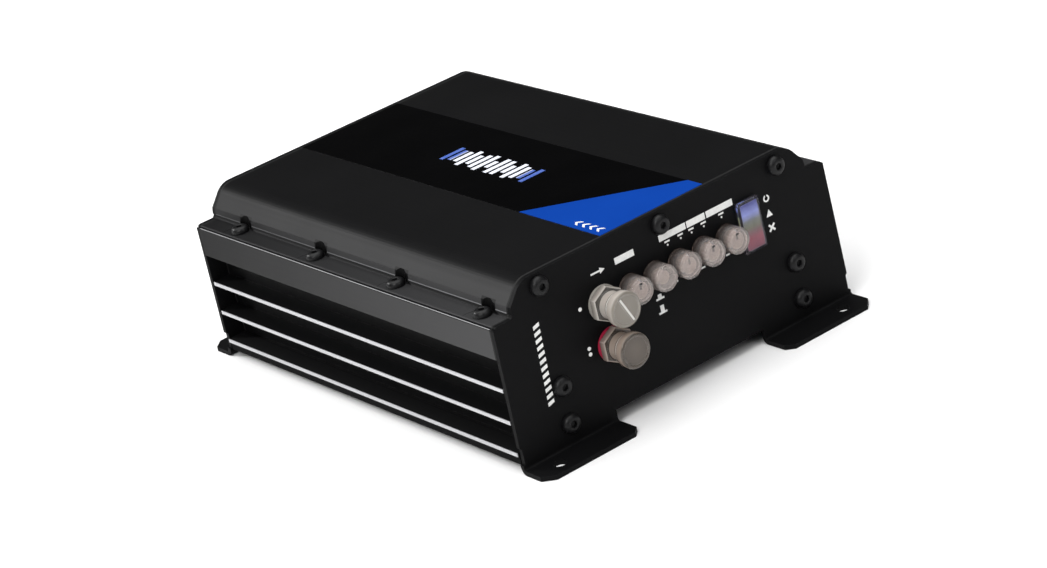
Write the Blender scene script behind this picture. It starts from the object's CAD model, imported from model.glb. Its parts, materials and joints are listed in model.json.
"""Looks of the car amplifier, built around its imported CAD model.

Lengths are in millimetres until a mesh or a shader socket takes them.
"""
import json
import math

import bmesh
import bpy
from mathutils import Matrix, Vector


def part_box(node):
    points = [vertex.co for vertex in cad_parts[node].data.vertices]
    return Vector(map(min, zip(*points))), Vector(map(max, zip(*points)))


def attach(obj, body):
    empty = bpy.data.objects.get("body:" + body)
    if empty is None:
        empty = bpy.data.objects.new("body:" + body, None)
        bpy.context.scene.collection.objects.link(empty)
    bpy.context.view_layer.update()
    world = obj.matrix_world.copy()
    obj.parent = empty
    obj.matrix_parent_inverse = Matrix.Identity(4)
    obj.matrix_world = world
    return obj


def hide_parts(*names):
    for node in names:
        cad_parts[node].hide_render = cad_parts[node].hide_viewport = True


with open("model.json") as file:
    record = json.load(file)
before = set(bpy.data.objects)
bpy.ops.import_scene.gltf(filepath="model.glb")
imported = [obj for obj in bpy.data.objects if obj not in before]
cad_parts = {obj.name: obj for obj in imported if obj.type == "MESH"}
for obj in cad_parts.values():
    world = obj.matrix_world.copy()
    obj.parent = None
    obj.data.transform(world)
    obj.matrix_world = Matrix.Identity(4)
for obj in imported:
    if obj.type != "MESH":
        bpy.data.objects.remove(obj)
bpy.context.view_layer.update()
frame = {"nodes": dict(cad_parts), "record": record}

MM = 0.001
SEGMENTS = 72                       # points round a turned piece; a multiple of 6 and of 18


def span(node):
    """Lowest and highest corner of a CAD node, in millimetres."""
    low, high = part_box(node)
    return low / MM, high / MM


def solids(node):
    """Box of each separate solid of a CAD node, in millimetres."""
    mesh = frame["nodes"][node].data
    owner = {}

    def find(key):
        while owner[key] != key:
            owner[key] = owner[owner[key]]
            key = owner[key]
        return key

    keys = [tuple(round(c / MM, 3) for c in v.co) for v in mesh.vertices]
    for key in keys:
        owner.setdefault(key, key)
    for polygon in mesh.polygons:
        first = find(keys[polygon.vertices[0]])
        for index in polygon.vertices[1:]:
            owner[find(keys[index])] = first
    groups = {}
    for key in owner:
        groups.setdefault(find(key), []).append(key)
    return sorted(
        (Vector(map(min, zip(*members))), Vector(map(max, zip(*members)))) for members in groups.values()
    )


FACE = span("rca_ring_left")[1].y                   # outer face of the control panel
REAR_FACE = -FACE                                   # outer face of the terminal panel
DECK = span("deck_stripe")[1].z                     # top of the film on the deck
SHELL_LOW, SHELL_HIGH = span("heatsink_shell")
CONTROLS = ("gain", "filter", "subsonic", "lowpass", "boost")


# ---- Camera ----

def place_camera():
    data = bpy.data.cameras.new("camera")
    data.sensor_width = 36
    data.lens = 110.34
    data.clip_start, data.clip_end = 0.05, 60
    camera = bpy.data.objects.new("camera", data)
    right = Vector((0.7789, -0.5884, -0.2172))
    up = Vector((0.3954, 0.1920, 0.8982))
    back = Vector((-0.4868, -0.7855, 0.3822))
    place = Vector((-0.6522, -1.0549, 0.5331))
    camera.matrix_world = Matrix.Translation(place) @ Matrix((right, up, back)).transposed().to_4x4()
    bpy.context.scene.collection.objects.link(camera)
    bpy.context.scene.camera = camera


place_camera()


# ---- Shader maths ----

class Field:
    """A shader socket that takes ordinary arithmetic."""

    def __init__(self, shading, socket):
        self.shading, self.socket = shading, socket

    def join(self, operation, other=0.0, swapped=False, clamped=False):
        pair = (other, self) if swapped else (self, other)
        settings = {"operation": operation, "use_clamp": clamped}
        return self.shading.node("ShaderNodeMath", settings, {0: pair[0], 1: pair[1]}).out()

    def __add__(self, other): return self.join("ADD", other)
    def __radd__(self, other): return self.join("ADD", other)
    def __sub__(self, other): return self.join("SUBTRACT", other)
    def __rsub__(self, other): return self.join("SUBTRACT", other, swapped=True)
    def __mul__(self, other): return self.join("MULTIPLY", other)
    def __rmul__(self, other): return self.join("MULTIPLY", other)
    def __truediv__(self, other): return self.join("DIVIDE", other)
    def __rtruediv__(self, other): return self.join("DIVIDE", other, swapped=True)
    def __gt__(self, other): return self.join("GREATER_THAN", other)
    def __lt__(self, other): return self.join("LESS_THAN", other)
    def __abs__(self): return self.join("ABSOLUTE")

    def held(self):
        """The value kept between 0 and 1."""
        return self.join("ADD", 0.0, clamped=True)

    def ramp(self, low, high):
        """0 at low, 1 at high, straight between them."""
        return ((self - low) / (high - low)).held()

    def between(self, low, high):
        """1 from low to high, 0 elsewhere."""
        return (self > low) * (self < high)

    def wave(self):
        return self.join("SINE")


class Node:
    """A shader node whose outputs are handed on as fields."""

    def __init__(self, shading, node):
        self.shading, self.node = shading, node

    def out(self, name=0):
        return Field(self.shading, self.node.outputs[name])


class Shading:
    """A node tree under construction."""

    def __init__(self, tree):
        self.tree = tree
        tree.nodes.clear()

    def node(self, kind, settings=None, sockets=None):
        """A node of that type, with its settings made first and then its sockets set or linked."""
        node = self.tree.nodes.new(kind)
        for name, value in (settings or {}).items():
            if name == "stops":
                ramp = node.color_ramp
                while len(ramp.elements) < len(value):
                    ramp.elements.new(0.5)
                for element, (position, colour) in zip(ramp.elements, value):
                    element.position, element.color = position, (*colour, 1)
            else:
                setattr(node, name, value)
        for name, value in (sockets or {}).items():
            if isinstance(value, Field):
                self.tree.links.new(value.socket, node.inputs[name])
            else:
                node.inputs[name].default_value = value
        return Node(self, node)


class Finish(Shading):
    """A material under construction, with the place on the object in millimetres at hand."""

    def __init__(self, name):
        self.material = bpy.data.materials.new(name)
        self.material.use_nodes = True
        super().__init__(self.material.node_tree)
        place = self.node("ShaderNodeTexCoord").out("Object")
        self.mm = self.node(
            "ShaderNodeVectorMath", {"operation": "SCALE"}, {0: place, "Scale": 1 / MM}).out()
        axes = self.node("ShaderNodeSeparateXYZ", None, {0: self.mm})
        self.x, self.y, self.z = (axes.out(i) for i in range(3))

    def noise(self, size, detail=2.0, roughness=0.5, stretch=(1, 1, 1)):
        """Soft random field; size is that of its blotches in millimetres."""
        at = self.node("ShaderNodeVectorMath", {"operation": "MULTIPLY"}, {0: self.mm, 1: stretch}).out()
        return self.node("ShaderNodeTexNoise", None, {
            "Vector": at, "Scale": 1 / size, "Detail": detail, "Roughness": roughness}).out()

    def cells(self, size):
        """Distance from the nearest of many scattered points that lie about size apart."""
        return self.node("ShaderNodeTexVoronoi", None, {"Vector": self.mm, "Scale": 1 / size}).out()

    def blend(self, first, second, share):
        """Colour between first and second."""
        first, second = (c if isinstance(c, Field) else (*c, 1) for c in (first, second))
        return self.node("ShaderNodeMix", {"data_type": "RGBA"}, {0: share, 6: first, 7: second}).out(2)

    def edge(self, radius, gain):
        """1 along convex and concave edges, 0 on flats."""
        worn = self.node("ShaderNodeBevel", {"samples": 4}, {"Radius": radius * MM}).out()
        flat = self.node("ShaderNodeNewGeometry").out("Normal")
        same = self.node(
            "ShaderNodeVectorMath", {"operation": "DOT_PRODUCT"}, {0: worn, 1: flat}).out("Value")
        return ((1 - same) * gain).held()

    def relief(self, height, depth, strength):
        """Normal of a height field whose full swing is depth millimetres."""
        return self.node("ShaderNodeBump", None, {
            "Height": height, "Distance": depth * MM, "Strength": strength}).out()

    def surface(self, **sockets):
        """Ends the material in one shader; base_color=... goes into its socket Base Color, and so on."""
        named = {k.replace("_", " ").title().replace("Ior", "IOR"): value for k, value in sockets.items()}
        shader = self.node("ShaderNodeBsdfPrincipled", None, named).out()
        self.node("ShaderNodeOutputMaterial", None, {"Surface": shader})
        return self.material


# ---- Finishes ----

# Heights of the case: the lip carries the bead, and above it come the screw ledge, ridge, band and slope.
TIP_LEAN = 1.2 / 58                 # how much further out the fins stand for each millimetre down
LIP_TOP = SHELL_HIGH.z - 14
LIP_X = SHELL_HIGH.x - (LIP_TOP - SHELL_LOW.z) * TIP_LEAN
RIDGE = LIP_TOP + 2.88
BAND_FOOT = LIP_TOP + 2.7
FIN_TOP = 47
RAIL_TOP = 9
CLAMP_Y = sorted({round((low.y + high.y) / 2, 1) for low, high in solids("clamp_screws")})


def extrusion_black():
    """Satin black coat on drawn aluminium, rubbed thin on the fin tips and along the bead.

    Each band of the outline has its own tone, which fades towards the terminal end.
    """
    f = Finish("satin_black_extrusion")
    side = abs(f.x)
    drawn = f.noise(0.35, 2, 0.6, (1, 0.004, 1))
    cloud = f.noise(45, 3)
    speck = f.noise(0.6, 2, 0.7)
    dust = f.noise(3.5, 4, 0.65)
    tip_line = LIP_X + LIP_TOP * TIP_LEAN
    tips = (side + f.z * TIP_LEAN).ramp(tip_line - 0.28, tip_line - 0.12) * (f.z < FIN_TOP)
    bead = f.z.ramp(LIP_TOP - 0.08, LIP_TOP) * (f.z < LIP_TOP + 0.3) * (side > LIP_X - 0.7)
    patchy = f.noise(9, 3) * 0.5 + 0.55
    face = f.z.between(FIN_TOP, LIP_TOP - 0.4) * (side > LIP_X - 0.3)
    ledge = f.z.between(LIP_TOP + 0.5, LIP_TOP + 1.15) * (side > LIP_X - 9)
    ridge = f.z.between(RIDGE - 0.22, RIDGE + 0.22) * side.between(LIP_X - 10, LIP_X - 8.6)
    band = f.z.between(BAND_FOOT, LIP_TOP + 5.3)
    slope = f.z.ramp(LIP_TOP + 13, LIP_TOP + 9) * (f.z > BAND_FOOT)
    far = f.y.ramp(-100, 105)
    pockets = 0.0
    for y in CLAMP_Y:
        pockets = (abs(f.y - y) < 4.6) + pockets
    pockets = (pockets * f.z.between(LIP_TOP + 1.2, LIP_TOP + 8) * (side > LIP_X - 10.45)).held()
    rubbed = f.edge(0.45, 5) * dust.ramp(0.42, 0.7) * 0.5
    bare = (tips * (0.72 + drawn * 0.28) + bead * patchy * 0.75).held()
    coat = f.blend((0.0024, 0.0024, 0.0026), (0.0062, 0.0062, 0.0066), cloud * 0.6 + speck * 0.4)
    coat = f.blend(coat, (0.024, 0.024, 0.0245), slope * (1 - far * 0.65))
    coat = f.blend(coat, (0.046, 0.046, 0.047), band * (1 - far * 0.7))
    coat = f.blend(coat, (0.054, 0.054, 0.055), face * (0.95 - far * 0.92))
    coat = f.blend(coat, (0.034, 0.034, 0.035), ledge * (0.9 - far * 0.75))
    coat = f.blend(coat, (0.26, 0.26, 0.27), ridge * (0.8 - far * 0.5))
    coat = f.blend(coat, (0.0016, 0.0016, 0.0017), pockets)
    coat = f.blend(coat, (0.05, 0.05, 0.052), rubbed * (1 - pockets))
    worn_rail = (f.z < RAIL_TOP) * (1 - bare)
    return f.surface(
        base_color=f.blend(coat, (0.66, 0.66, 0.68), bare),
        metallic=bare * 0.55,
        roughness=(0.38 + cloud * 0.08 + drawn * 0.08 - rubbed * 0.1 + worn_rail * 0.4).held(),
        normal=f.relief(drawn * 0.6 + speck * 0.4, 0.02, 0.6),
        specular_ior_level=0.07)


def powder_black():
    """Matte black powder coat with a fine orange-peel skin, rubbed a little on its cut edges."""
    f = Finish("black_powder_coat")
    skin = f.noise(0.9, 3, 0.6)
    cloud = f.noise(38, 3)
    scuff = f.noise(2.2, 4, 0.7, (1, 0.3, 1))
    rubbed = f.edge(0.4, 5) * scuff.ramp(0.45, 0.75) * 0.45
    coat = f.blend((0.0018, 0.0018, 0.0021), (0.0052, 0.0052, 0.0056), cloud * 0.7 + skin * 0.3)
    return f.surface(
        base_color=f.blend(coat, (0.040, 0.040, 0.042), rubbed),
        roughness=(0.44 + cloud * 0.12 + skin * 0.1).held(),
        normal=f.relief(skin, 0.045, 0.55),
        specular_ior_level=0.07)


def gloss_film(name, dark, light):
    """Printed gloss film: almost even in colour, with slow ripples and fine hairlines in its skin."""
    f = Finish(name)
    slow = f.noise(22, 2)
    hair = f.noise(0.5, 3, 0.6, (1, 0.02, 1))
    dust = f.noise(1.1, 4, 0.7).ramp(0.66, 0.78)
    return f.surface(
        base_color=f.blend(f.blend(dark, light, slow), (0.06, 0.06, 0.065), dust * 0.05),
        roughness=(0.10 + slow * 0.06 + hair * 0.06 + dust * 0.2).held(),
        normal=f.relief(slow * 0.5 + hair * 0.02, 0.02, 0.5),
        specular_ior_level=0.10)


def ink(name, colour, end_colour=None, reach=0.0):
    """Screen-printed ink, thin at places. Beyond reach from the middle it takes end_colour, if given."""
    f = Finish(name)
    mesh = f.noise(0.22, 2, 0.6)
    thin = f.noise(1.6, 3, 0.6).ramp(0.3, 0.7)
    if end_colour:
        colour = f.blend(colour, end_colour, abs(f.y).ramp(reach - 1, reach + 1))
    return f.surface(
        base_color=f.blend(colour, (0.35, 0.36, 0.38), (1 - thin) * 0.25),
        roughness=(0.45 + mesh * 0.2).held(),
        normal=f.relief(mesh, 0.01, 0.4))


def oxide_black():
    """Blackened steel of the button-head screws."""
    f = Finish("black_oxide_steel")
    grain = f.noise(0.25, 3, 0.6)
    cloud = f.noise(2.4, 3)
    rubbed = f.edge(0.25, 4) * cloud.ramp(0.45, 0.85) * 0.35
    coat = f.blend((0.0025, 0.0025, 0.003), (0.006, 0.006, 0.0065), cloud)
    return f.surface(
        base_color=f.blend(coat, (0.06, 0.06, 0.063), rubbed),
        metallic=rubbed * 0.6,
        roughness=(0.34 + grain * 0.14).held(),
        normal=f.relief(grain, 0.012, 0.5),
        specular_ior_level=0.24)


def plated(name, dark, light, rough=0.24, grain_size=0.3, stretch=(1, 1, 1)):
    """Bright plated or bare metal with fine grain and a little tarnish."""
    f = Finish(name)
    grain = f.noise(grain_size, 3, 0.6, stretch)
    cloud = f.noise(4.5, 3)
    tarnish = cloud.ramp(0.5, 0.85)
    worn = f.edge(0.2, 5)
    shade = f.blend(dark, light, (cloud * 0.6 + worn * 0.4).held())
    return f.surface(
        base_color=f.blend(shade, tuple(c * 0.5 for c in dark), tarnish * 0.4),
        metallic=1.0,
        roughness=(rough + grain * 0.12 + tarnish * 0.12).held(),
        normal=f.relief(grain, 0.01, 0.5))


def moulded(name, dark, light, rough=0.42, spark=0.35):
    """Moulded plastic with a spark-eroded skin."""
    f = Finish(name)
    skin = f.noise(spark, 3, 0.65)
    flow = f.noise(14, 2)
    worn = f.edge(0.3, 5) * f.noise(1.5, 3).ramp(0.45, 0.75)
    shade = f.blend(dark, light, flow * 0.7 + skin * 0.3)
    return f.surface(
        base_color=f.blend(shade, tuple(min(1.0, c * 2.2 + 0.01) for c in light), worn * 0.3),
        roughness=(rough + skin * 0.12).held(),
        normal=f.relief(skin, 0.03, 0.5),
        specular_ior_level=0.4)


def rubber():
    """Dense black rubber with closed pores."""
    f = Finish("gasket_rubber")
    pore = f.cells(0.5)
    cloud = f.noise(6, 3)
    return f.surface(
        base_color=f.blend((0.006, 0.006, 0.006), (0.014, 0.014, 0.014), cloud),
        roughness=(0.75 + pore * 0.15).held(),
        normal=f.relief(pore, 0.04, 0.5),
        specular_ior_level=0.3)


def thermal_pad():
    """Grey silicone pad with the weave of its glass cloth showing through."""
    f = Finish("silicone_thermal_pad")
    weave = (f.x * 4).wave() * 0.5 + (f.y * 4).wave() * 0.5
    cloud = f.noise(5, 3)
    return f.surface(
        base_color=f.blend((0.22, 0.28, 0.34), (0.34, 0.40, 0.46), cloud),
        roughness=(0.6 + cloud * 0.2).held(),
        normal=f.relief(weave, 0.03, 0.4))


def circuit_board():
    """Green solder mask over copper tracks, with tinned pads."""
    f = Finish("circuit_board")
    tracks = ((f.x * 1.7).wave() * (f.y * 0.9).wave()).ramp(0.1, 0.25)
    pads = 1 - f.cells(2.54).ramp(0.30, 0.36)
    cloud = f.noise(9, 3)
    mask = f.blend((0.006, 0.055, 0.022), (0.012, 0.105, 0.040), (tracks * 0.7 + cloud * 0.3).held())
    return f.surface(
        base_color=f.blend(mask, (0.55, 0.55, 0.52), pads),
        metallic=pads * 0.9,
        roughness=(0.30 + cloud * 0.15).held(),
        normal=f.relief(tracks * 0.5 + pads, 0.05, 0.5))


def copper_winding():
    """Enamelled wire laid side by side round the ring core of the transformer."""
    f = Finish("enamelled_windings")
    low, high = span("power_transformer")
    turns = 130
    angle = (f.y - (low.y + high.y) / 2).join("ARCTAN2", f.x - (low.x + high.x) / 2)
    strand = (angle * turns).wave()
    cloud = f.noise(5, 3)
    wire = f.blend((0.20, 0.055, 0.015), (0.46, 0.17, 0.05), strand * 0.5 + 0.5)
    return f.surface(
        base_color=f.blend(wire, (0.12, 0.03, 0.01), cloud.ramp(0.5, 0.8) * 0.6),
        roughness=(0.25 + cloud * 0.15).held(),
        metallic=0.4,
        normal=f.relief(strand, 0.25, 0.8))


def capacitor_sleeve():
    """Shrunk blue sleeve with pale printed bands."""
    f = Finish("capacitor_sleeve")
    print_band = (f.x * 0.55).wave().ramp(0.7, 0.75)
    shrink = f.noise(3, 3)
    sleeve = f.blend((0.010, 0.022, 0.060), (0.020, 0.040, 0.110), shrink)
    return f.surface(
        base_color=f.blend(sleeve, (0.45, 0.48, 0.55), print_band * 0.6),
        roughness=(0.22 + shrink * 0.15).held(),
        normal=f.relief(shrink, 0.06, 0.5))


def silicone(name, dark, light, clear, rough, reach, head, foot, foot_end, grooves, rim_size):
    """Translucent moulded silicone with fine flow clouds and a greasy, dust-catching skin.

    Distances are measured from the panel. The thick end at reach takes the tone head, the part up to
    foot_end takes the tone foot, and dirt lies in the grooves, each given by its place and half its width.
    """
    f = Finish(name)
    flow = f.noise(8, 3)
    skin = f.noise(0.5, 3, 0.6)
    dust = f.noise(1.4, 4, 0.7).ramp(0.62, 0.80)
    rim = f.edge(rim_size, 7)
    out = FACE - f.y
    shade = f.blend(dark, light, (flow * 0.4 + rim * 1.1 - 0.05).held())
    shade = f.blend(shade, head, out.ramp(reach - 1.0, reach - 0.3) * (0.95 - rim * 0.8).held())
    shade = f.blend(shade, foot, (1 - out.ramp(0.5, foot_end)) * (0.98 - rim * 0.2).held())
    shade = f.blend(shade, light, out.ramp(reach + 0.02, reach + 0.2))
    for at, half in grooves:
        shade = f.blend(shade, tuple(c * 0.08 for c in dark), (abs(out - at) < half) * 0.9)
    return f.surface(
        base_color=f.blend(shade, (0.86, 0.85, 0.83), dust * 0.08),
        roughness=(rough + skin * 0.08 + dust * 0.1).held(),
        transmission_weight=clear,
        ior=1.41,
        normal=f.relief(skin, 0.02, 0.5),
        specular_ior_level=0.6)


def lamp_glow():
    """Light of the three lamps as it spreads in the window: blue above, yellow-green, red below."""
    f = Finish("lamp_glow")
    low, high = span("led_window")
    stops = [
        (0.00, (0.30, 0.035, 0.05)), (0.22, (0.42, 0.065, 0.065)), (0.38, (0.24, 0.13, 0.085)),
        (0.48, (0.20, 0.22, 0.08)), (0.62, (0.22, 0.25, 0.16)), (0.80, (0.40, 0.50, 0.92)),
        (1.00, (0.10, 0.13, 0.40))]
    hue = f.node("ShaderNodeValToRGB", {"stops": stops}, {0: f.z.ramp(low.z + 2, high.z - 2)}).out()
    moulding = f.noise(1.2, 3, 0.6)
    softened = f.blend(hue, (0.5, 0.5, 0.5), moulding * 0.12)
    return f.surface(
        base_color=softened,
        emission_color=softened,
        emission_strength=0.85,
        roughness=(0.35 + moulding * 0.2).held(),
        normal=f.relief(moulding, 0.05, 0.5))


def lamp_lens(name, colour, glow):
    """Tinted dome of a lamp, lit from inside."""
    f = Finish(name)
    swirl = f.noise(0.8, 3)
    shade = f.blend(colour, tuple(min(1.0, c * 1.3 + 0.1) for c in colour), swirl)
    return f.surface(
        base_color=shade,
        emission_color=shade,
        emission_strength=glow,
        roughness=(0.12 + swirl * 0.1).held(),
        normal=f.relief(swirl, 0.02, 0.4))


def clear_lens():
    """Lightly tinted clear plastic with drawn hairlines."""
    f = Finish("clear_window")
    flow = f.noise(4, 3)
    hair = f.noise(0.4, 3, 0.6, (1, 1, 0.08))
    worn = f.edge(0.3, 5)
    return f.surface(
        base_color=f.blend((0.40, 0.385, 0.48), (0.62, 0.60, 0.70), (flow * 0.7 + worn * 0.4).held()),
        roughness=(0.16 + hair * 0.08 + worn * 0.15).held(),
        transmission_weight=0.94,
        ior=1.30,
        normal=f.relief(flow * 0.6 + hair * 0.1, 0.05, 0.4),
        specular_ior_level=0.3)


BLUE_INK = (0.010, 0.075, 0.42)
CAP_REACH, CAP_FOOT = 14.8, 4.6                     # from the panel to the end of the cap, and of its skirt
CAP_GROOVES = ((4.5, 0.42), (8.55, 0.2), (9.5, 0.2))
FINISHES = {
    "heatsink_black": extrusion_black(),
    "panel_black": powder_black(),
    "zinc_plate": plated("zinc_plated_bar", (0.34, 0.35, 0.36), (0.55, 0.56, 0.58), 0.34, 0.5, (1, 0.05, 1)),
    "gasket_rubber": rubber(),
    "stripe_gloss": gloss_film("gloss_black_film", (0.0003, 0.0003, 0.0004), (0.0012, 0.0012, 0.0014)),
    "blue_gloss": gloss_film("gloss_blue_film", (0.0026, 0.038, 0.265), (0.0038, 0.050, 0.33)),
    "badge_white": ink("badge_ink", (0.80, 0.83, 0.92), BLUE_INK, 23),
    "print_white": ink("white_ink", (0.82, 0.82, 0.80)),
    "screw_black": oxide_black(),
    "screw_steel": plated("zinc_plated_steel", (0.42, 0.43, 0.44), (0.66, 0.67, 0.68)),
    "mould_black": moulded("black_moulding", (0.007, 0.007, 0.008), (0.016, 0.016, 0.017)),
    "pad_grey": thermal_pad(),
    "board_green": circuit_board(),
    "brass_spacer": plated("turned_brass", (0.50, 0.34, 0.12), (0.68, 0.50, 0.22), 0.22),
    "winding_copper": copper_winding(),
    "can_blue": capacitor_sleeve(),
    "pot_blue": moulded("control_blue", (0.03, 0.08, 0.18), (0.05, 0.13, 0.28)),
    "knob_ivory": moulded("ivory_knob", (0.52, 0.47, 0.43), (0.72, 0.67, 0.62), 0.38, 0.4),
    "silicone_clear": silicone(
        "clear_silicone", (0.80, 0.70, 0.66), (1.0, 0.98, 0.96), 0.79, 0.05, 11.5,
        (1.0, 0.92, 0.88), (0.04, 0.022, 0.015), 8.6, ((9.35, 0.15),), 0.3),
    "silicone_milky": silicone(
        "milky_silicone", (0.62, 0.56, 0.50), (1.0, 0.98, 0.94), 0.42, 0.10, CAP_REACH,
        (0.27, 0.245, 0.21), (0.20, 0.185, 0.165), CAP_FOOT, CAP_GROOVES, 0.6),
    "jack_metal": plated("nickel_jack", (0.60, 0.52, 0.32), (0.78, 0.70, 0.48), 0.16),
    "nut_metal": plated("nickel_nut", (0.52, 0.52, 0.50), (0.74, 0.74, 0.72), 0.18),
    "ring_white": moulded("white_ring", (0.22, 0.205, 0.18), (0.34, 0.32, 0.29), 0.4, 0.4),
    "ring_red": moulded("red_ring", (0.24, 0.005, 0.026), (0.40, 0.010, 0.046), 0.4, 0.4),
    "window_clear": clear_lens(),
    "lamp_blue": lamp_lens("blue_lamp", (0.25, 0.36, 0.95), 0.9),
    "lamp_yellow": lamp_lens("yellow_lamp", (0.55, 0.60, 0.22), 0.5),
    "lamp_red": lamp_lens("red_lamp", (0.80, 0.07, 0.06), 0.9),
    "socket_plated": plated("plated_brass_socket", (0.52, 0.47, 0.36), (0.72, 0.67, 0.54), 0.22),
}
LAMP_GLOW = lamp_glow()
ROSY_SILICONE = silicone(
    "rosy_silicone", (0.46, 0.36, 0.29), (0.86, 0.80, 0.75), 0.45, 0.10, CAP_REACH,
    (0.085, 0.074, 0.062), (0.19, 0.115, 0.115), CAP_FOOT, CAP_GROOVES, 0.5)


def dress_cad_nodes():
    """Each CAD node takes the finish of its slot in the record."""
    for part in frame["record"]["subparts"]:
        mesh = frame["nodes"][part["node"]].data
        mesh.materials.clear()
        mesh.materials.append(FINISHES[part["material_slot"]])


dress_cad_nodes()


# ---- Shaping ----
# A turned piece is a stack of rings. Their points are (across, up, out), with out measured along the axis,
# and one of the facing functions places them on the case.

def ring(radius, out, sides=0, wave=0.0, waves=0):
    """Points on a circle, on a regular polygon of that corner radius, or on a ribbed circle."""
    points = []
    for i in range(SEGMENTS):
        a = math.tau * i / SEGMENTS
        r = radius
        if sides:
            half = math.pi / sides
            from_corner = (a - math.pi / 2) % (2 * half)
            r = radius * math.cos(half) / math.cos(from_corner - half)
        if waves:
            r += wave * math.cos(waves * a)
        points.append((r * math.cos(a), r * math.sin(a), out))
    return points


def arc(centre_r, centre_out, radius, first, last, steps):
    """Rings of a rounded edge between two angles in degrees; 0 is outwards, 90 is along the axis."""
    found = []
    for i in range(steps + 1):
        a = math.radians(first + (last - first) * i / steps)
        found.append(ring(centre_r + radius * math.cos(a), centre_out + radius * math.sin(a)))
    return found


def frame_ring(width, height, out, round_off):
    """Points on a rectangle with rounded corners."""
    points, quarter = [], SEGMENTS // 4
    for k, (sx, sz) in enumerate(((1, 1), (-1, 1), (-1, -1), (1, -1))):
        cx, cz = sx * (width / 2 - round_off), sz * (height / 2 - round_off)
        for i in range(quarter):
            a = math.pi / 2 * (k + i / (quarter - 1))
            points.append((cx + round_off * math.cos(a), cz + round_off * math.sin(a), out))
    return points


def stack(bm, rings, place, looped=False):
    """Skins a row of rings. The two ends are capped, or joined to each other when looped."""
    rows = [[bm.verts.new(place(p)) for p in points] for points in rings]
    pairs = list(zip(rows, rows[1:]))
    if looped:
        pairs.append((rows[-1], rows[0]))
    for low, high in pairs:
        count = len(low)
        for i in range(count):
            j = (i + 1) % count
            bm.faces.new((low[i], low[j], high[j], high[i]))
    if not looped:
        for row in (rows[0], rows[-1]):
            centre = bm.verts.new(sum((v.co for v in row), Vector()) / len(row))
            for i, vert in enumerate(row):
                bm.faces.new((centre, vert, row[(i + 1) % len(row)]))


def facing_front(x, z):
    """Turned about a line along Y at x, z, growing out of the control panel."""
    return lambda p: Vector((x + p[0], FACE - p[2], z + p[1])) * MM


def facing_rear(x, z):
    """The same, growing out of the terminal panel."""
    return lambda p: Vector((x - p[0], REAR_FACE + p[2], z + p[1])) * MM


def facing_up(x, y, z):
    """Turned about an upright line, growing upwards from z."""
    return lambda p: Vector((x + p[0], y + p[1], z + p[2])) * MM


def facing_down(x, y, z):
    """The same, growing downwards from z."""
    return lambda p: Vector((x + p[0], y - p[1], z - p[2])) * MM


def slab(bm, low, high):
    """A block between two corners."""
    size = Vector(high) - Vector(low)
    made = bmesh.ops.create_cube(bm, size=1.0)["verts"]
    bmesh.ops.scale(bm, vec=size * MM, verts=made)
    bmesh.ops.translate(bm, vec=(Vector(low) + size / 2) * MM, verts=made)


def sheet_shape(bm, outline, z0, z1):
    """A flat outline in X and Y, raised from z0 to z1."""
    rows = [[bm.verts.new(Vector((x, y, z)) * MM) for x, y in outline] for z in (z0, z1)]
    count = len(outline)
    bm.faces.new(rows[0])
    bm.faces.new(rows[1])
    for i in range(count):
        j = (i + 1) % count
        bm.faces.new((rows[0][i], rows[0][j], rows[1][j], rows[1][i]))


def piece(name, bm, body, slot, stands_for=(), round_edge=0.08, sharp=32, finish=None):
    """Makes an object of the mesh, with small rounds on its sharp edges, riding on a CAD body."""
    bmesh.ops.recalc_face_normals(bm, faces=bm.faces)
    mesh = bpy.data.meshes.new(name)
    bm.to_mesh(mesh)
    bm.free()
    mesh.polygons.foreach_set("use_smooth", [True] * len(mesh.polygons))
    mesh.set_sharp_from_angle(angle=math.radians(sharp))
    mesh.materials.append(finish or FINISHES[slot])
    made = bpy.data.objects.new(name, mesh)
    bpy.context.scene.collection.objects.link(made)
    if round_edge:
        rounding = made.modifiers.new("edges", "BEVEL")
        rounding.width = round_edge * MM
        rounding.segments = 2
        rounding.limit_method = "ANGLE"
        rounding.angle_limit = math.radians(sharp)
        rounding.harden_normals = True
    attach(made, body)
    if stands_for:
        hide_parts(*stands_for)


# ---- Screws ----

def button_head(bm, place, radius, height, shank):
    """Domed head with a hexagonal key socket; the seat is at 0 and the shank runs below it."""
    shank_r, flat, key = 1.8, radius * 0.5, radius * 0.37
    rings = [ring(shank_r - 0.5, -shank), ring(shank_r, -shank + 0.5), ring(shank_r, 0),
             ring(radius - 0.15, 0), ring(radius, 0.15), ring(radius, height * 0.26)]
    for i in range(1, 8):
        a = math.radians(90 * i / 8)
        rings.append(ring(flat + (radius - flat) * math.cos(a), height * (0.26 + 0.74 * math.sin(a))))
    rings += [ring(flat, height), ring(key + 0.28, height), ring(key, height - 0.2, 6),
              ring(key, height * 0.42, 6), ring(key * 0.5, height * 0.36)]
    stack(bm, rings, place)


def make_panel_screws(name, placed):
    """All button-head screws of one end panel."""
    bm = bmesh.new()
    for low, high in solids(name):
        centre = (low + high) / 2
        rear = high.y > 0
        reach, shank = (high.y - REAR_FACE, REAR_FACE - low.y) if rear else (FACE - low.y, high.y - FACE)
        button_head(bm, placed(centre.x, centre.z), (high.x - low.x) / 2, reach, shank)
    piece(name + "_heads", bm, "chassis", "screw_black", (name,), 0.06)


def make_clamp_screws():
    """Button-head screws on the ledges of the case."""
    bm = bmesh.new()
    height = 2.8
    for low, high in solids("clamp_screws"):
        centre = (low + high) / 2
        seat = high.z - height
        button_head(bm, facing_up(centre.x, centre.y, seat), (high.x - low.x) / 2, height, seat - low.z)
    piece("clamp_screw_heads", bm, "chassis", "screw_black", ("clamp_screws",), 0.06)


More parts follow.
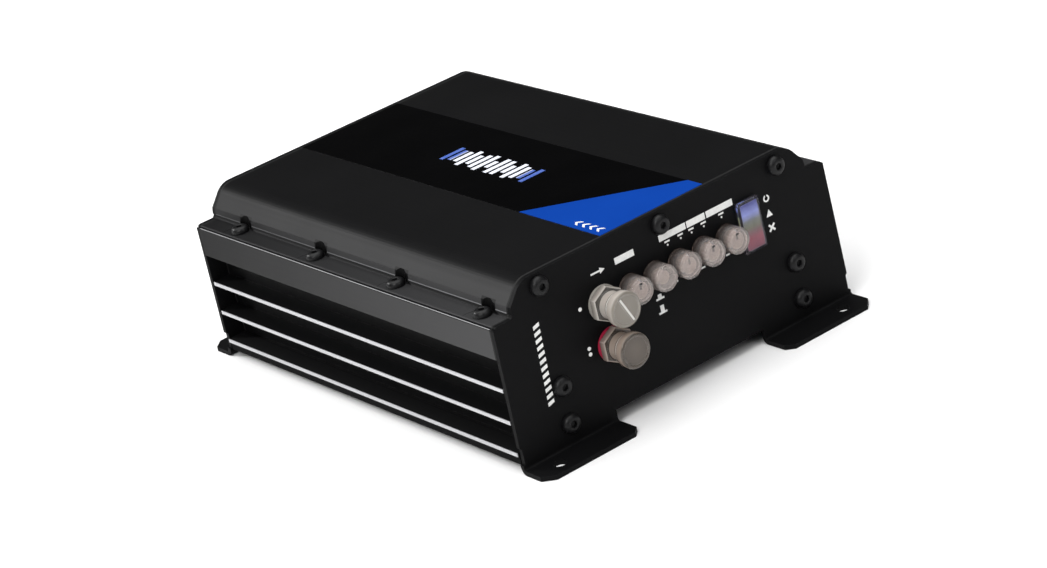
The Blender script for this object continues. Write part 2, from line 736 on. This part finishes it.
def make_cover_screws():
    """Low pan heads under the bottom cover."""
    bm = bmesh.new()
    head_height = 1.6
    for low, high in solids("cover_screws"):
        centre = (low + high) / 2
        seat = low.z + head_height
        head = (high.x - low.x) / 2
        end = seat - high.z
        rings = [ring(1.1, end), ring(1.5, end + 0.4), ring(1.5, 0), ring(head, 0), ring(head, 0.5),
                 ring(head - 0.4, 1.1), ring(head - 1.1, head_height), ring(1.15, head_height),
                 ring(1.0, 1.45, 6), ring(0.95, 0.7, 6)]
        stack(bm, rings, facing_down(centre.x, centre.y, seat))
    piece("cover_screw_heads", bm, "chassis", "screw_black", ("cover_screws",), 0.05)


make_panel_screws("front_panel_screws", facing_front)
make_panel_screws("rear_panel_screws", facing_rear)
make_clamp_screws()
make_cover_screws()


# ---- Controls ----

SLOTTED_COVERS = ("gain", "lowpass", "boost")       # these have a dark slot moulded into the end


def make_cover(control):
    """Clear cover: thin wall, soft rim at its foot, a bead near its end and a shallow dish in it."""
    node = control + "_cover"
    low, high = span(node)
    centre, reach = (low + high) / 2, FACE - low.y
    bore, wall = 4.65, (high.x - low.x) / 2 - 0.25
    rings = [ring(bore - 1.2, reach - 0.95)]
    rings += arc(bore - 0.6, reach - 1.55, 0.6, 90, 0, 4)
    rings += [ring(bore, 0.35), ring(bore + 0.2, 0.1), ring(wall + 0.1, 0.1), ring(wall + 0.25, 0.25),
              ring(wall + 0.25, 0.8), ring(wall + 0.05, 1.05), ring(wall, 1.25), ring(wall, reach - 2.3),
              ring(wall - 0.07, reach - 2.15), ring(wall - 0.07, reach - 1.95), ring(wall, reach - 1.8)]
    rings += arc(wall - 0.95, reach - 0.95, 0.95, 0, 90, 6)
    rings += [ring(wall - 1.15, reach), ring(wall - 1.4, reach - 0.12),
              ring(wall - 1.75, reach - 0.22), ring(1.0, reach - 0.25)]
    bm = bmesh.new()
    stack(bm, rings, facing_front(centre.x, centre.z))
    piece("clear_cover_" + control, bm, node, "silicone_clear", (node,), 0, 40)
    if control in SLOTTED_COVERS:
        bm = bmesh.new()
        slab(bm, (centre.x - 0.9, low.y + 0.2, centre.z + 2.7),
             (centre.x + 0.5, low.y + 0.6, centre.z + 3.5))
        piece("cover_slot_" + control, bm, node, "silicone_clear", (), 0.05, 40, FINISHES["mould_black"])


def make_knob(control):
    """Ribbed head with a turned collar, a dished end and a pointer line."""
    node = control + "_knob"
    low, high = span(node)
    x, z = (low.x + high.x) / 2, (low.z + high.z) / 2
    front, shaft_end = FACE - low.y, FACE - high.y
    radius = (high.x - low.x) / 2 - 0.15
    ribs = {"wave": 0.15, "waves": 18}
    rings = [ring(2.6, shaft_end), ring(3.0, shaft_end + 0.4), ring(3.0, 1.55), ring(3.0, 2.5),
             ring(radius - 0.1, 2.5), ring(radius, 2.65), ring(radius, 2.9), ring(radius, 3.0, **ribs),
             ring(radius, front - 0.6, **ribs), ring(radius - 0.2, front - 0.32),
             ring(radius - 0.45, front - 0.2), ring(radius - 1.0, front - 0.22),
             ring(radius - 1.3, front - 0.45), ring(0.6, front - 0.5)]
    bm = bmesh.new()
    stack(bm, rings, facing_front(x, z))
    piece("ribbed_knob_" + control, bm, node, "knob_ivory", (node,), 0.04, 40)
    bm = bmesh.new()
    slab(bm, (x - 0.4, low.y, z + 0.5), (x + 0.4, low.y + 0.42, z + radius - 0.35))
    piece("pointer_" + control, bm, node, "knob_ivory", (), 0.06, 40, FINISHES["mould_black"])


def make_button():
    """Round button with a shallow groove and a dished end."""
    low, high = span("filter_button")
    x, z = (low.x + high.x) / 2, (low.z + high.z) / 2
    front, back = FACE - low.y, FACE - high.y
    rings = [ring(2.7, back), ring(3.0, back + 0.3), ring(3.0, front - 1.6), ring(2.94, front - 1.5),
             ring(2.94, front - 1.2), ring(3.0, front - 1.1)]
    rings += arc(2.5, front - 0.5, 0.5, 0, 90, 4)
    rings += [ring(1.9, front), ring(1.6, front - 0.2), ring(0.5, front - 0.3)]
    bm = bmesh.new()
    stack(bm, rings, facing_front(x, z))
    piece("push_button_cap", bm, "filter_button", "knob_ivory", ("filter_button",), 0, 40)


for control in CONTROLS:
    make_cover(control)
    if control != "filter":
        make_knob(control)
make_button()


# ---- Input jacks ----

CAP_HEAD = 7.25                                     # radius of a dust cap's head


def hexagon_corner(across_flats):
    return across_flats / math.sqrt(3)


def jack_axis(side):
    low, high = span("rca_ring_" + side)
    return (low.x + high.x) / 2, (low.z + high.z) / 2


def make_dust_cap(side, finish):
    """Soft cap: six-sided skirt over the nut, round barrel with two beads, wide dished head."""
    node = "rca_cap_" + side
    x, z = jack_axis(side)
    head, skirt, pocket = CAP_HEAD, hexagon_corner(13.6), hexagon_corner(12.5)
    rings = [ring(3.6, 11.4), ring(4.2, 11.2), ring(4.2, 3.7),
             ring(pocket - 0.05, 3.6, 6), ring(pocket, 1.1, 6),
             ring(skirt - 0.2, 1.1, 6), ring(skirt, 1.3, 6), ring(skirt, 3.6, 6),
             ring(skirt - 0.2, 3.9, 6), ring(skirt - 0.6, 4.1, 6),
             ring(6.2, 4.1), ring(5.85, 4.2), ring(5.65, 4.5), ring(5.6, 4.9), ring(5.6, 8.7),
             ring(5.85, 8.85), ring(5.85, 9.15), ring(5.6, 9.3), ring(5.6, 9.55), ring(6.0, 9.75),
             ring(6.15, 10.15), ring(6.5, 10.5), ring(7.0, 11.0), ring(head, 11.45), ring(head, 13.4)]
    rings += arc(head - 1.05, CAP_REACH - 1.05, 1.05, 0, 82, 6)
    rings += [ring(head - 1.2, CAP_REACH), ring(head - 1.4, 14.62), ring(head - 1.6, 14.45), ring(2.0, 14.4)]
    bm = bmesh.new()
    stack(bm, rings, facing_front(x, z))
    piece("dust_cap_" + side, bm, node, "silicone_milky", (node,), 0.12, 30, finish)


def make_cap_rib(side):
    """Rounded grip rib that leans across the dished end of the cap and thins at its ends."""
    x, z = jack_axis(side)
    lean, half, foot = math.radians(24), CAP_HEAD - 1.55, FACE - CAP_REACH + 0.5
    along, across = Vector((-math.sin(lean), math.cos(lean))), Vector((math.cos(lean), math.sin(lean)))
    profile = ((-0.95, 0.0), (-0.5, 0.6), (-0.2, 0.9), (0.2, 0.9), (0.5, 0.6), (0.95, 0.0))
    bm = bmesh.new()
    rows = []
    for share in (-1, -0.96, -0.5, 0, 0.5, 0.96, 1):
        tall = 0.28 if abs(share) == 1 else 0.95
        row = []
        for sideways, rise in profile:
            at = along * (half * share) + across * sideways
            row.append(bm.verts.new(Vector((x + at.x, foot - rise * tall, z + at.y)) * MM))
        rows.append(row)
    count = len(profile)
    for a, b in zip(rows, rows[1:]):
        for i in range(count):
            j = (i + 1) % count
            bm.faces.new((a[i], a[j], b[j], b[i]))
    bm.faces.new(rows[0])
    bm.faces.new(rows[-1])
    piece("dust_cap_rib", bm, "rca_cap_" + side, "silicone_milky", (), 0.08, 50)


def make_jack(side, colour):
    """Nickel sleeve with a thread and a rolled mouth, the insulator in it, and the colour ring round it."""
    node, ring_node = "rca_jack_" + side, "rca_ring_" + side
    low, high = span(node)
    x, z = jack_axis(side)
    front = facing_front(x, z)
    reach, outer = FACE - low.y, 4.15
    thread_end, pitch = 3.6, 0.7
    threads, out = [], -4.9
    while out < thread_end:
        threads += [ring(outer, out), ring(outer - 0.14, out + pitch / 2)]
        out += pitch
    rings = [ring(3.4, 1.6), ring(3.4, reach - 0.3), ring(3.65, reach), ring(outer - 0.15, reach),
             ring(outer, reach - 0.2), ring(outer, reach - 0.7), ring(outer - 0.1, reach - 0.9),
             ring(outer, reach - 1.1), ring(outer, 3.9)]
    rings += threads[::-1]
    rings += [ring(3.9, -5.1), ring(1.7, -5.1), ring(1.7, 1.4)]
    bm = bmesh.new()
    stack(bm, rings, front, looped=True)
    piece("jack_sleeve_" + side, bm, "chassis", "jack_metal", (node,), 0, 40)

    bm = bmesh.new()
    stack(bm, [ring(1.68, 1.5), ring(1.68, 8.9), ring(2.5, 9.0), ring(2.68, 8.8), ring(2.7, 1.5)],
          front, looped=True)
    piece("jack_insulator_" + side, bm, "chassis", colour, (), 0.06, 40)
    bm = bmesh.new()
    slab(bm, (x - 6, FACE + 5.1, z - 6), (x + 6, high.y, z + 6))
    piece("jack_body_" + side, bm, "chassis", "mould_black", (), 0.4, 40)

    ring_low, ring_high = span(ring_node)
    thick = ring_high.y - ring_low.y
    bm = bmesh.new()
    stack(bm, [ring(4.2, 0.02), ring(4.2, thick), ring(6.85, thick), ring(7.12, thick - 0.1),
               ring(7.2, thick - 0.3), ring(7.2, 0.02)], front, looped=True)
    piece("colour_ring_" + side, bm, "chassis", colour, (ring_node,), 0, 40)


def make_nuts():
    """Hexagon nuts of both jacks, chamfered towards the viewer."""
    bm = bmesh.new()
    corner = hexagon_corner(12)
    for low, high in solids("rca_nuts"):
        x, z = (low.x + high.x) / 2, (low.z + high.z) / 2
        first, last = FACE - high.y, FACE - low.y
        rings = [ring(4.2, first), ring(4.2, last - 0.25), ring(4.45, last), ring(corner * 0.84, last),
                 ring(corner - 0.15, last - 0.25, 6), ring(corner, last - 0.45, 6), ring(corner, first, 6)]
        stack(bm, rings, facing_front(x, z), looped=True)
    piece("jack_nuts", bm, "chassis", "nut_metal", ("rca_nuts",), 0.06, 40)


make_dust_cap("left", None)
make_cap_rib("left")
make_jack("left", "ring_white")
make_dust_cap("right", ROSY_SILICONE)
make_jack("right", "ring_red")
make_nuts()


# ---- Status window ----

def make_window():
    """Clear bevelled lens over a frosted plate that spreads the lamps' light."""
    low, high = span("led_window")
    width, height, reach = high.x - low.x, high.z - low.z, FACE - low.y
    wall, back = 1.2, FACE - high.y
    front = facing_front((low.x + high.x) / 2, (low.z + high.z) / 2)

    def outline(inset, out, round_off):
        return frame_ring(width - 2 * inset, height - 2 * inset, out, round_off)

    bm = bmesh.new()
    stack(bm, [
        outline(wall + 0.1, reach - wall, 0.3), outline(wall + 0.1, 0.6, 0.3), outline(2 * wall, 0.4, 0.3),
        outline(2 * wall, back, 0.3), outline(wall, back, 0.3), outline(wall, 0, 0.3),
        outline(0.1, 0, 0.5), outline(0, 0.15, 0.5), outline(0, reach - 1.25, 0.5),
        outline(0.1, reach - 1.08, 0.5), outline(1.1, reach - 0.08, 0.45), outline(1.25, reach, 0.4)],
        front)
    piece("window_lens", bm, "chassis", "window_clear", ("led_window",), 0, 30)
    bm = bmesh.new()
    inset, ceiling = wall + 0.2, reach - wall
    stack(bm, [outline(inset, ceiling - 0.38, 0.25), outline(inset, ceiling - 0.12, 0.25),
               outline(inset + 0.08, ceiling - 0.05, 0.2)], front)
    piece("window_diffuser", bm, "chassis", "lamp_blue", (), 0, 30, LAMP_GLOW)


make_window()


# ---- Deck trim ----

def make_chevrons():
    """Small white arrowheads printed on the blue film, towards the control end."""
    corner = span("blue_inlay")[0]
    arrow = ((0, 0), (1.7, 2.0), (3.4, 0), (3.4, 1.5), (1.7, 3.5), (0, 1.5))
    bm = bmesh.new()
    for i in range(4):
        x, y = corner.x + 2.2, corner.y + 3.2 + i * 4.6
        sheet_shape(bm, [(x + across, y + along) for across, along in arrow], DECK + 0.005, DECK + 0.07)
    piece("inlay_chevrons", bm, "chassis", "badge_white", (), 0, 30, FINISHES["print_white"])


make_chevrons()


# ---- Terminal end ----

def make_terminal_details():
    """Moulded ribs between the wire openings, and raised plus and minus signs."""
    rib_top, sign_z = 55, 51.5
    between_wires = (("power_terminal", (24.6, 39.5)), ("speaker_terminal", (-39.5,)))
    bm = bmesh.new()
    for node, walls in between_wires:
        low, high = span(node)
        for x in (low.x + 0.9, *walls, high.x - 0.9):
            slab(bm, (x - 0.7, high.y - 0.05, low.z + 1), (x + 0.7, high.y + 0.9, rib_top))
    front = span("power_terminal")[1].y
    for x, sign in ((48, "plus"), (31, "minus"), (-33, "plus"), (-46, "minus")):
        slab(bm, (x - 1.9, front - 0.05, sign_z - 0.4), (x + 1.9, front + 0.4, sign_z + 0.4))
        if sign == "plus":
            slab(bm, (x - 0.4, front - 0.05, sign_z - 1.9), (x + 0.4, front + 0.4, sign_z + 1.9))
    piece("terminal_ribs", bm, "chassis", "mould_black", (), 0.08, 40)


make_terminal_details()


# ---- Floor and light ----

def make_floor():
    """Matt white paper, far larger than the view."""
    f = Finish("floor_paper")
    fibre = f.noise(1.3, 3, 0.6)
    paper = f.surface(
        base_color=f.blend((0.90, 0.90, 0.90), (0.92, 0.92, 0.92), fibre),
        roughness=0.9,
        specular_ior_level=0.1)
    bm = bmesh.new()
    bmesh.ops.create_grid(bm, x_segments=8, y_segments=8, size=30)
    mesh = bpy.data.meshes.new("floor")
    bm.to_mesh(mesh)
    bm.free()
    mesh.materials.append(paper)
    floor = bpy.data.objects.new("floor", mesh)
    bpy.context.scene.collection.objects.link(floor)


def soft_box(name, place, target, size, power):
    """Rectangular soft light; its place, target and size are in metres."""
    light = bpy.data.lights.new(name, "AREA")
    light.shape = "RECTANGLE"
    light.size, light.size_y = size
    light.energy = power
    made = bpy.data.objects.new(name, light)
    made.location = place
    made.rotation_mode = "QUATERNION"
    made.rotation_quaternion = (Vector(target) - Vector(place)).to_track_quat("-Z", "Y")
    bpy.context.scene.collection.objects.link(made)


def make_studio():
    """Four soft boxes over white paper, in a dim room that is lighter overhead."""
    make_floor()
    soft_box("overhead", (0.0, 0.2, 2.6), (0, 0.3, 0), (3.4, 3.4), 92)
    soft_box("key", (-1.9, -1.2, 1.7), (0, -0.1, 0.03), (1.2, 1.2), 34)
    soft_box("front", (0.5, -2.2, 1.5), (0, 0, 0.03), (1.4, 1.0), 12)
    soft_box("back", (-1.5, 2.6, 1.6), (0, 0, 0.05), (0.3, 0.6), 56)
    world = bpy.data.worlds.new("studio")
    bpy.context.scene.world = world
    world.use_nodes = True
    room = Shading(world.node_tree)
    place = room.node("ShaderNodeTexCoord").out("Generated")
    height = room.node("ShaderNodeSeparateXYZ", None, {0: place}).out("Z")
    levels = ((0.0, 0.20), (0.06, 0.14), (0.16, 0.03), (0.60, 0.03), (1.0, 0.35))
    stops = [(at, (level, level, level)) for at, level in levels]
    shade = room.node("ShaderNodeValToRGB", {"stops": stops}, {0: height}).out()
    glow = room.node("ShaderNodeBackground", None, {"Color": shade}).out()
    room.node("ShaderNodeOutputWorld", None, {"Surface": glow})


make_studio()
bpy.context.scene.view_settings.view_transform = "Standard"
